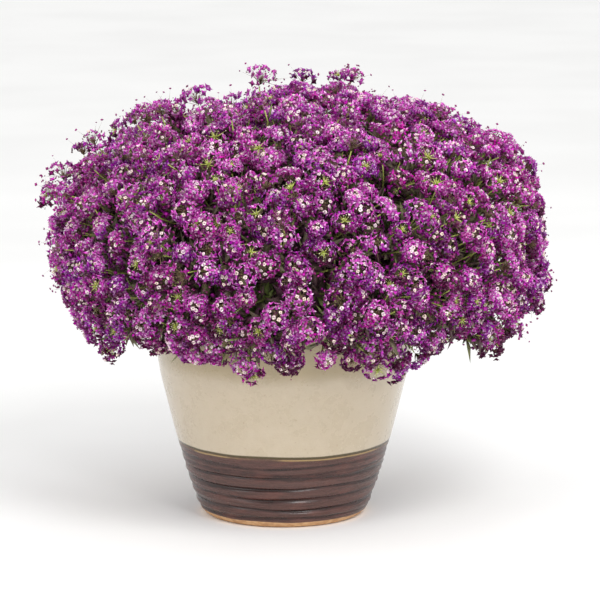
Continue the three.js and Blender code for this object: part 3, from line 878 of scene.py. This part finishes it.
def make_pot():
    bearings = np.arange(POT_SEGMENTS) * TURN / POT_SEGMENTS
    foot = np.array([0, 0.25, 0.6, 1, 1.5, 2, 2.8, 3.8, 5])
    outer = np.concatenate([foot, np.arange(6, BAND_TOP + 3, 0.75), np.arange(BAND_TOP + 3.5, WALL_TOP, 4.0)])
    inner = np.concatenate([np.arange(178, 20, -6.0), [FLOOR]])
    turn = np.linspace(0, math.pi, 9)
    lip_r = smooth_wall(np.array([WALL_TOP]))[0] - WALL / 2 + WALL / 2 * np.cos(turn)
    lip_z = WALL_TOP + LIP_ROUND * np.sin(turn)
    heights = np.concatenate([outer, lip_z, inner])
    radii = np.concatenate([smooth_wall(outer), lip_r, smooth_wall(inner) - WALL])
    z = heights[:, None]
    outside = (np.arange(len(heights)) < len(outer))[:, None]
    ridges = ridge_height(z, bearings[None]) * outside * plateau(z, 3, 6, BAND_TOP - 6, BAND_TOP)
    out_of_round = 0.35 * np.sin(2 * bearings + 0.8) * smoothstep(z, 5, 60)
    step = GLAZE_STEP * smoothstep(z, BAND_TOP - 0.4, BAND_TOP + 0.4)
    wall = radii[:, None] + max(GROOVE_DEPTHS) * ridges
    wall = wall + outside * (throwing_lines(z, bearings) + out_of_round + step)
    points, faces, flats = revolved(wall, heights, bearings)
    pot = mesh_object("pot_thrown", points, faces, pot_material(), flats)
    # The ridge height, from which the material paints shade into the grooves and highlights onto the crests
    attribute = pot.data.attributes.new("ridge", "FLOAT", "POINT")
    crest = np.concatenate([1 + ridges.ravel(), [1, 1]])
    attribute.data.foreach_set("value", crest.astype(np.float32))
    placed(pot, ["pot"])


def crown(r, edge):
    """The soil's height at a radius"""
    return SOIL_TOP + SOIL_SWELL * (1 - (r / edge) ** 2)


def make_soil():
    bearings = np.arange(SOIL_SEGMENTS) * TURN / SOIL_SEGMENTS
    edge = float(smooth_wall(np.array([SOIL_TOP]))[0]) - WALL - SOIL_GAP
    down = np.array([FLOOR + 0.5, 40, 67.5, 100, 133, 155, SOIL_TOP - 1.0])
    inward = np.linspace(edge - 0.5, 1.5, 40)
    radii = np.concatenate([smooth_wall(down) - WALL - SOIL_GAP, inward])
    heights = np.concatenate([down, crown(inward, edge)])
    points, faces, flats = revolved(radii[:, None], heights, bearings)
    top = points[:, 2] > SOIL_TOP - 0.5
    lump = np.sin(0.43 * points[:, 0] + 2 * np.sin(0.31 * points[:, 1])) * np.sin(0.47 * points[:, 1] + 1)
    grain = spread(np.arange(len(points)), DRAWN_GRAIN)
    points[:, 2] += top * (0.7 * lump + 0.6 * grain)
    placed(mesh_object("soil_fill", points, faces, soil_material(), flats), ["soil"])
    make_crumbs(edge)


def make_crumbs(edge):
    """Loose crumbs on the soil, the first of them perlite"""
    i = np.arange(CRUMBS)
    r = (edge - 4) * np.sqrt(draw(i, DRAWN_CRUMB_REACH))
    bearing = TURN * draw(i, DRAWN_CRUMB_BEARING)
    places = np.stack([r * np.cos(bearing), r * np.sin(bearing), crown(r, edge) - 0.4], axis=-1)
    size = mix(1.2, 3.4, draw(i, DRAWN_CRUMB_SIZE) ** 2)
    axes = frames(unit(spread3(i, DRAWN_CRUMB_AXIS) + 0.6 * UP), TURN * draw(i, DRAWN_CRUMB_SPIN), size)
    tint = mix(srgb(34, 24, 17), srgb(96, 70, 46), draw(i, DRAWN_CRUMB_TINT)[:, None])
    colours = np.repeat(tint[:, None], 3, axis=1)
    white = i < PERLITE
    for name, kept, material in (
        ("soil_crumbs", ~white, stem_material()),
        ("soil_perlite", white, perlite_material()),
    ):
        crumbs = Batch()
        crumbs.put(BUD_FORM, places[kept], axes[kept], colours[kept])
        crumbs.piece(name, material, "potting_soil")


# Copies of the small forms

def frames(normal, spin, size, depth=1.0):
    """Axes of copies that face a direction, turned about it, at a size, and as deep as a share of it"""
    x = turned(*across(normal), spin)
    y = np.cross(normal, x)
    return np.stack([x, y, depth * normal], axis=1) * np.reshape(size, (-1, 1, 1))


def spans(start, end, width):
    """Axes of copies that reach from start to end, as wide as a radius"""
    along = end - start
    side, other = across(unit(along))
    width = np.reshape(np.broadcast_to(width, len(along)), (-1, 1))
    return np.stack([side * width, other * width, along], axis=1)


def spread_out(batches, form, places, axes, colours, group):
    """Puts each copy into the batch of its group"""
    for g, batch in enumerate(batches):
        mask = group == g
        batch.put(form, places[mask], axes[mask], colours[mask])


def put_stalked(batches, group, root, way, reach, thick, stalks, axes, florets):
    """Small florets on stalks that reach out along a way, with the colours of both"""
    end = root + reach[:, None] * way
    spread_out(batches, TWIG_FORM, root, spans(root, end, thick), stalks, group)
    spread_out(batches, BUD_FORM, end - 0.5 * way, axes, florets, group)


# Colours

DEEP = srgb(92, 8, 62)
MAGENTA = srgb(216, 4, 174)
VIOLET = srgb(172, 12, 190)
ORCHID = srgb(240, 90, 218)
LILAC = srgb(255, 232, 252)
CREAM = srgb(244, 222, 204)
# The floret's dark eye colour, which also paints shade into each floret's hollow middle and the notches
# between its petals
EYE_AND_SHADE = srgb(34, 6, 30)
BUD_GREEN = srgb(132, 140, 70)
BUD_DARK = srgb(94, 32, 64)
FRESH_GREEN = srgb(200, 222, 98)
STALK_PALE = srgb(172, 164, 104)
STALK_GREEN = srgb(138, 146, 80)
STALK_DARK = srgb(94, 52, 64)
STALK_BROWN = srgb(106, 62, 62)
LEAF_GREEN = srgb(98, 122, 56)
LEAF_GREY = srgb(126, 138, 88)
LEAF_FRESH = srgb(176, 206, 98)
# Plum painted shade for the leaves deep inside a spray
LEAF_PAINTED_SHADE = srgb(98, 44, 80)


def petal_colours(hue, light):
    """Body, eye and edge colours of florets, from a hue drawn from 0 to 1 and a lightness from 0 to 1 that
    carries painted light and shade
    """
    hue, light = hue[:, None], light[:, None]
    vivid = mix(MAGENTA, VIOLET, hue)
    body = np.where(light < 0.6, mix(DEEP, vivid, light / 0.6), mix(vivid, ORCHID, (light - 0.6) / 0.4))
    # The edge pales towards lilac as the lightness rises: a painted highlight over the petal's own lighter rim
    edge = mix(body, LILAC, 0.15 + 0.85 * light**1.1)
    return np.stack([body, mix(EYE_AND_SHADE, body, 0.15), edge], axis=1)


def young_colours(share):
    """The same for pale young florets"""
    body = mix(LILAC, CREAM, 0.3 + 0.7 * share[:, None])
    return np.stack([body, np.broadcast_to(EYE_AND_SHADE, body.shape), mix(body, CREAM, 0.4)], axis=1)


def shades(first, second, share):
    """Three colours from the first to the second"""
    near = mix(first, second, np.reshape(share, (-1, 1)))
    return np.stack([near, near, mix(near, second, 0.5)], axis=1)


# Flower heads

class Sites:
    """The places on each head's dome, from its middle out, as arrays of heads by sites"""

    def __init__(self, heads):
        k, i = np.meshgrid(np.arange(heads.count), np.arange(SITES), indexing="ij")
        self.item = k * SITE_BLOCK + i
        self.head = k
        self.number = i
        loose = np.where(heads.loose, LOOSENESS, 1.0)[:, None]
        slope, bearing, stretch = (loose * self.spread(purpose) for purpose in DRAWN_LEAN)
        theta = DOME_SPAN * ((i + 0.5) / SITES) ** SITE_POWER * (1 + UNEVEN_SLOPE * slope)
        turn = TURN * draw(np.arange(heads.count), DRAWN_HEAD_HUE)[:, None]
        phi = i * GOLDEN_ANGLE + turn + UNEVEN_BEARING * bearing
        ray = heads.starry[:, None] & (i < STAR_RAYS)
        theta = theta * np.where(ray, STAR_SPREAD, 1.0)
        radial = turned(heads.side[:, None], heads.other[:, None], phi)
        axis = heads.faces[:, None]
        radius = heads.radius[:, None, None]
        sin, cos = np.sin(theta)[..., None], np.cos(theta)[..., None]
        rise = DOME_RISE * (cos - 1) + DOME_TOP
        reach = radius * (1 + UNEVEN_REACH * stretch)[..., None]
        self.place = heads.place[:, None] + reach * (sin * radial + rise * axis)
        lean = unit(sin * radial + 0.7 * cos * axis)
        jitter = np.stack([self.spread(purpose) for purpose in DRAWN_JITTER], axis=-1)
        self.normal = unit(lean + UNEVEN_FACING * loose[..., None] * jitter)
        down = np.where(ray[..., None], STAR_ROOT, -1.05 + 0.4 * cos)
        self.root = heads.place[:, None] + radius * axis * down

    def draw(self, purpose):
        return draw(self.item.ravel(), purpose).reshape(self.item.shape)

    def spread(self, purpose):
        return 2 * self.draw(purpose) - 1


class Bloom:
    """All that grows on the heads, each copy in the batch of its head's group"""

    def __init__(self, heads, sprays):
        self.heads = heads
        self.group_of_head = sprays.group[heads.spray]
        self.sites = Sites(heads)
        number = self.sites.number
        more = np.floor(3 * draw(np.arange(heads.count), DRAWN_YOUNG))
        buds = np.select([heads.starry, heads.budded], [STAR_RAYS, BUDDED_SITES], BUD_SITES)
        young = np.select([heads.starry, heads.budded], [more, 1 + more], YOUNG_SITES + more)
        dropped = heads.loose[:, None] & (self.sites.draw(DRAWN_SITE_KEPT) > LOOSE_KEPT)
        self.is_bud = (number < buds[:, None]) | dropped
        self.is_young = ~self.is_bud & (number < (buds + young)[:, None])
        self.is_open = ~self.is_bud & ~self.is_young

    def grow(self, petals, greens):
        self.open_florets(petals)
        self.young_florets(petals)
        self.buds(greens)
        self.pedicels(greens)
        self.strays(greens)

    def chosen(self, mask):
        s = self.sites
        group = self.group_of_head[s.head[mask]]
        return s.place[mask], s.normal[mask], s.item[mask], s.head[mask], s.number[mask], group

    def open_florets(self, petals):
        place, normal, item, head, number, group = self.chosen(self.is_open)
        size = FLORET / 2 * mix(0.84, 1.16, draw(item, DRAWN_SITE_SIZE))
        axes = frames(normal, TURN * draw(item, DRAWN_SITE_SPIN), size)
        hue = np.clip(self.heads.hue[head] + 0.25 * spread(item, DRAWN_SITE_HUE), 0, 1)
        drawn_light = mix(self.heads.light[head], draw(item, DRAWN_SITE_LIGHT), 0.45)
        light = LIGHT_MIDDLE + LIGHT_SPREAD * (drawn_light - 0.5)
        # Painted light and shade: florets that face up are lighter, florets at a head's rim darker, and
        # florets on the low heads of the fringe darker
        light = light + PAINTED_SKY_LIGHT * normal[:, 2] - RIM_SHADE * (number / SITES) ** 2
        light = light - FRINGE_SHADE * (1 - smoothstep(place[:, 2], FRINGE_LOW, FRINGE_HIGH))
        colours = petal_colours(hue, np.clip(light, 0, 1))
        plain = (number >= FINE_SITES) | (head >= HEADS)
        kind = item % len(CUPS) + len(CUPS) * plain
        for number_of_form, form in enumerate(FLORET_FORMS):
            mask = kind == number_of_form
            spread_out(petals, form, place[mask], axes[mask], colours[mask], group[mask])

    def young_florets(self, petals):
        place, normal, item, _, _, group = self.chosen(self.is_young)
        size = YOUNG_FLORET / 2 * mix(0.85, 1.15, draw(item, DRAWN_SITE_SIZE))
        axes = frames(normal, TURN * draw(item, DRAWN_SITE_SPIN), size)
        colours = young_colours(draw(item, DRAWN_SITE_HUE) ** 1.5)
        spread_out(petals, YOUNG_FORM, place + normal * 0.6, axes, colours, group)

    def buds(self, greens):
        place, normal, item, head, number, group = self.chosen(self.is_bud)
        starry = self.heads.starry[head]
        size = BUD * mix(0.7, 1.2, draw(item, DRAWN_SITE_SIZE)) * np.where(starry, STAR_BUD, 1.0)
        axes = frames(normal, TURN * draw(item, DRAWN_SITE_SPIN), size, BUD_DEPTH)
        dark = draw(item, DRAWN_SITE_HUE)
        outer = number >= STAR_RAYS
        star = shades(FRESH_GREEN, LILAC, 0.35 * dark)
        plain = shades(BUD_GREEN, BUD_DARK, np.where(outer, 0.6 + 0.4 * dark, dark))
        colours = np.where((starry & ~outer)[:, None, None], star, plain)
        spread_out(greens, BUD_FORM, place - normal * size[:, None], axes, colours, group)

    def pedicels(self, greens):
        stalked = self.sites.number < STALKED_SITES
        place, normal, item, head, number, group = self.chosen(stalked)
        root = self.sites.root[stalked]
        ray = self.heads.starry[head] & (number < STAR_RAYS)
        axes = spans(root, place - normal * 0.5, np.where(ray, STAR_PEDICEL, PEDICEL))
        share = draw(item, DRAWN_SITE_LIGHT)
        bright = shades(FRESH_GREEN, STALK_PALE, 0.5 * share)
        colours = np.where(ray[:, None, None], bright, shades(STALK_PALE, STALK_DARK, 0.2 + 0.8 * share))
        spread_out(greens, TWIG_FORM, root, axes, colours, group)

    def strays(self, greens):
        """Small dark florets on thin stalks that stand out past a head"""
        heads = self.heads
        k = np.repeat(np.arange(heads.count), STRAYS)
        item = k * STRAY_BLOCK + np.tile(np.arange(STRAYS), heads.count)
        above = smoothstep(heads.place[k, 2], FRINGE_LOW, FRINGE_HIGH)
        kept = draw(item, DRAWN_STRAY_KEPT) < draw(k, DRAWN_STRAY_KEPT) * above
        k, item = k[kept], item[kept]
        rise = mix(-0.1, 1.0, draw(item, DRAWN_STRAY_RISE))[:, None]
        aside = turned(heads.side[k], heads.other[k], TURN * draw(item, DRAWN_STRAY_BEARING))
        out = unit(aside + rise * heads.faces[k])
        reach = heads.radius[k] * mix(1.15, 1.8, draw(item, DRAWN_STRAY_REACH))
        root = heads.place[k] - 0.6 * heads.radius[k, None] * heads.faces[k]
        stalks = shades(STALK_PALE, STALK_BROWN, draw(item, DRAWN_STRAY_STALK))
        facing = unit(out + 0.5 * spread3(item, DRAWN_JITTER))
        size = mix(1.8, 3.8, draw(item, DRAWN_STRAY_SIZE))
        axes = frames(facing, TURN * draw(item, DRAWN_STRAY_SPIN), size, STRAY_DEPTH)
        dark = shades(BUD_DARK, mix(DEEP, MAGENTA, 0.35), draw(item, DRAWN_STRAY_TINT))
        put_stalked(greens, self.group_of_head[k], root, out, reach, PEDICEL, stalks, axes, dark)


# Stems and leaves

def bezier(start, middle, end, steps):
    """Points of plane curves, (k, steps, 3)"""
    t = np.linspace(0, 1, steps)[None, :, None]
    start, middle, end = start[:, None], middle[:, None], end[:, None]
    return (1 - t) ** 2 * start + 2 * t * (1 - t) * middle + t**2 * end


def main_stems(sprays):
    """A curve for each spray, from its foot in the soil to its hub"""
    arch = mix(sprays.collar, sprays.hub, 0.4)
    arch[:, 2] = mix(sprays.collar[:, 2], sprays.hub[:, 2], 0.8) + 10
    curve = bezier(sprays.collar, arch, sprays.hub, 14)
    return np.concatenate([sprays.foot[:, None], curve], axis=1)


def branches(heads, sprays):
    """A curve to each head from the line between its spray's hub and the middle of its heads"""
    hub = sprays.hub[heads.spray]
    lead = mix(hub, sprays.place[heads.spray], 0.8)
    k = np.arange(heads.count)
    start = mix(hub, lead, mix(0.0, 0.5, draw(k, DRAWN_BRANCH_START))[:, None])
    end = heads.place - 0.95 * heads.radius[:, None] * heads.faces
    length = np.linalg.norm(end - start, axis=1, keepdims=True)
    middle = end - 0.45 * length * heads.faces
    middle = mix(middle, mix(start, end, 0.5), 0.35)
    return bezier(start, middle, end, 6)


def grow_stalks(stems, twigs):
    """The main stems and the branches to the heads, brown below and green above"""
    stalks = Batch()
    share = np.linspace(0, 1, stems.shape[1])
    colours = mix(STALK_BROWN, STALK_GREEN, share[:, None])
    stalks.put_tubes(stems, STEM_THICK * mix(1, 0.75, share), 7, colours)
    share = np.linspace(0, 1, twigs.shape[1])
    colours = mix(STALK_GREEN, FRESH_GREEN, 0.6 * share[:, None] ** 2)
    stalks.put_tubes(twigs, BRANCH_THICK * mix(1.5, 0.8, share), 3, colours)
    return stalks


def round_curves(curves, k, share, spin):
    """Places at a share of the way along the chosen curves, the way onwards and a way out from there"""
    steps = curves.shape[1]
    at = share * (steps - 1)
    step = np.minimum(at.astype(int), steps - 2)
    start, end = curves[k, step], curves[k, step + 1]
    along = unit(end - start)
    return mix(start, end, (at - step)[:, None]), along, turned(*across(along), spin)


def grow_faded(batches, twigs, group):
    """Faded florets on thin stalks, in a spiral round the upper part of each branch"""
    k = np.repeat(np.arange(len(twigs)), FADED)
    i = np.tile(np.arange(FADED), len(twigs))
    item = k * FADED + i
    share = mix(0.45, 0.95, (i + draw(item, DRAWN_FADED_PLACE)) / FADED)
    root, along, out = round_curves(twigs, k, share, i * GOLDEN_ANGLE + TURN * draw(k, DRAWN_FADED_SPIN))
    forward = unit(out + 0.5 * along + 0.4 * spread3(item, DRAWN_FADED_LEAN))
    reach = FADED_STALK * mix(0.7, 1.3, draw(item, DRAWN_FADED_LENGTH))
    tint = draw(item, DRAWN_FADED_TINT)
    stalks = shades(STALK_PALE, STALK_BROWN, tint)
    size = FADED_SIZE * mix(0.4, 1.2, draw(item, DRAWN_FADED_SIZE))
    axes = frames(unit(forward + 0.8 * along), TURN * tint, size, FADED_DEPTH)
    florets = shades(DEEP, mix(MAGENTA, VIOLET, 0.5), 0.08 + 0.6 * tint)
    put_stalked(batches, group[k], root, forward, reach, FADED_THICK, stalks, axes, florets)


def grow_leaves(batches, seed, form, curves, group, per_curve, stretch, length, width):
    """Leaves on a stretch of each curve, in a spiral round it, tilted forwards"""
    k = np.repeat(np.arange(len(curves)), per_curve)
    i = np.tile(np.arange(per_curve), len(curves))
    item = (k * per_curve + i) * 4 + seed
    share = mix(*stretch, (i + draw(item, DRAWN_LEAF_PLACE)) / per_curve)
    root, along, out = round_curves(curves, k, share, i * GOLDEN_ANGLE + TURN * draw(k, DRAWN_LEAF_SPIN))
    tilt = mix(0.45, 1.25, draw(item, DRAWN_LEAF_TILT))
    forward = unit(turned(along, out, tilt) + 0.15 * UP)
    upper = unit(along - forward * np.sum(along * forward, axis=1, keepdims=True))
    long = length * mix(0.6, 1.2, draw(item, DRAWN_LEAF_LENGTH))[:, None]
    half = long * width / 2
    axes = np.stack([upper * half, np.cross(forward, upper) * half, forward * long], axis=1)
    light = draw(item, DRAWN_LEAF_LIGHT)[:, None]
    # Painted light and shade: leaves far out along a curve are green with fresh tips, those deep inside take
    # the plum painted shade
    sunlit = smoothstep(share, 0.3, 1.0)[:, None]
    body = mix(LEAF_PAINTED_SHADE, mix(LEAF_GREEN, LEAF_GREY, light), mix(0.1, 1, sunlit))
    tip = mix(body, LEAF_FRESH, 0.8 * light * sunlit)
    colours = np.stack([body, mix(body, LEAF_FRESH, 0.3), tip], axis=1)
    spread_out(batches, form, root, axes, colours, group[k])


def make_plant():
    sprays = Sprays()
    heads = Heads(sprays)
    stems = main_stems(sprays)
    twigs = branches(heads, sprays)
    group = sprays.group[heads.spray]
    petals, greens, leaves = ([Batch() for _ in range(GROUPS)] for _ in range(3))
    Bloom(heads, sprays).grow(petals, greens)
    grow_faded(greens, twigs, group)
    kinds = (
        (LEAF_FORM, twigs, group, OUTER_LEAVES, (0.45, 0.85), LEAF_LENGTH, LEAF_WIDTH),
        (INNER_LEAF_FORM, twigs, group, INNER_LEAVES, (0.0, 0.65), INNER_LEAF_LENGTH, INNER_LEAF_WIDTH),
        (INNER_LEAF_FORM, stems, sprays.group, STEM_LEAVES, (0.3, 1.0), STEM_LEAF_LENGTH, INNER_LEAF_WIDTH),
    )
    for seed, kind in enumerate(kinds):
        grow_leaves(leaves, seed, *kind)
    petal, leaf, stem = petal_material(), leaf_material(), stem_material()
    for g in range(GROUPS):
        nodes = [f"spray_{j + 1:02d}" for j in np.flatnonzero(sprays.group == g)]
        petals[g].piece(f"florets_{g + 1}", petal, "flowers", nodes)
        greens[g].piece(f"buds_{g + 1}", stem, "stems")
        leaves[g].piece(f"leaves_{g + 1}", leaf, "leaves")
    grow_stalks(stems, twigs).piece("stems", stem, "stems")


# Floor, lights and camera

def make_floor():
    shader = Shader("floor")
    tone = shader.between(shader.noise(3, 2), 0.3, 0.7)
    shader.set(Base_Color=shader.blend(tone, srgb(246, 246, 245), srgb(251, 251, 250)), Roughness=0.9)
    mesh = bpy.data.meshes.new("floor")
    corner_signs = ((-1, -1), (1, -1), (1, 1), (-1, 1))
    mesh.from_pydata([(x * FLOOR_REACH, y * FLOOR_REACH, 0) for x, y in corner_signs], [], [(0, 1, 2, 3)])
    mesh.materials.append(shader.material)
    linked("floor", mesh)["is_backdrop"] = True


def make_light(name, place, aim, size, power):
    light = bpy.data.lights.new(name, "AREA")
    light.shape = "DISK"
    light.size = size
    light.energy = power
    made = linked(name, light)
    made.location = place
    made.rotation_euler = (Vector(aim) - Vector(place)).to_track_quat("-Z", "Y").to_euler()


def make_lights():
    world = bpy.data.worlds.new("studio")
    bpy.context.scene.world = world
    world.use_nodes = True
    back = world.node_tree.nodes["Background"]
    back.inputs["Color"].default_value = (1, 1, 1, 1)
    back.inputs["Strength"].default_value = SKY_STRENGTH
    for light in LIGHTS:
        make_light(**light)


def make_camera():
    elevation = math.radians(CAMERA_ELEVATION)
    data = bpy.data.cameras.new("camera")
    data.lens = CAMERA_LENS
    data.sensor_width = CAMERA_SENSOR
    camera = linked("camera", data)
    back = Vector((0, -math.cos(elevation), math.sin(elevation)))
    camera.location = Vector(CAMERA_AIM) + back * CAMERA_DISTANCE
    camera.rotation_euler = (-back).to_track_quat("-Z", "Y").to_euler()
    bpy.context.scene.camera = camera
    bpy.context.scene.view_settings.view_transform = "Standard"


def corners(bounds):
    return [list(corner) for corner in bounds]


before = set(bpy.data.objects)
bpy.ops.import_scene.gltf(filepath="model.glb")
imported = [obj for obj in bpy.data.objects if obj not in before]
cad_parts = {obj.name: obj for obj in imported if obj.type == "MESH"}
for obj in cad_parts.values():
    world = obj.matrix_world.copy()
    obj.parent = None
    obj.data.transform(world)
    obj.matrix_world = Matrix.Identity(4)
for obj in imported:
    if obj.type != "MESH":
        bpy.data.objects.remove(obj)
cad_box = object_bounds()
make_camera()
make_floor()
make_lights()
make_pot()
make_soil()
make_plant()
{"cad": corners(cad_box), "visual": corners(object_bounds())}
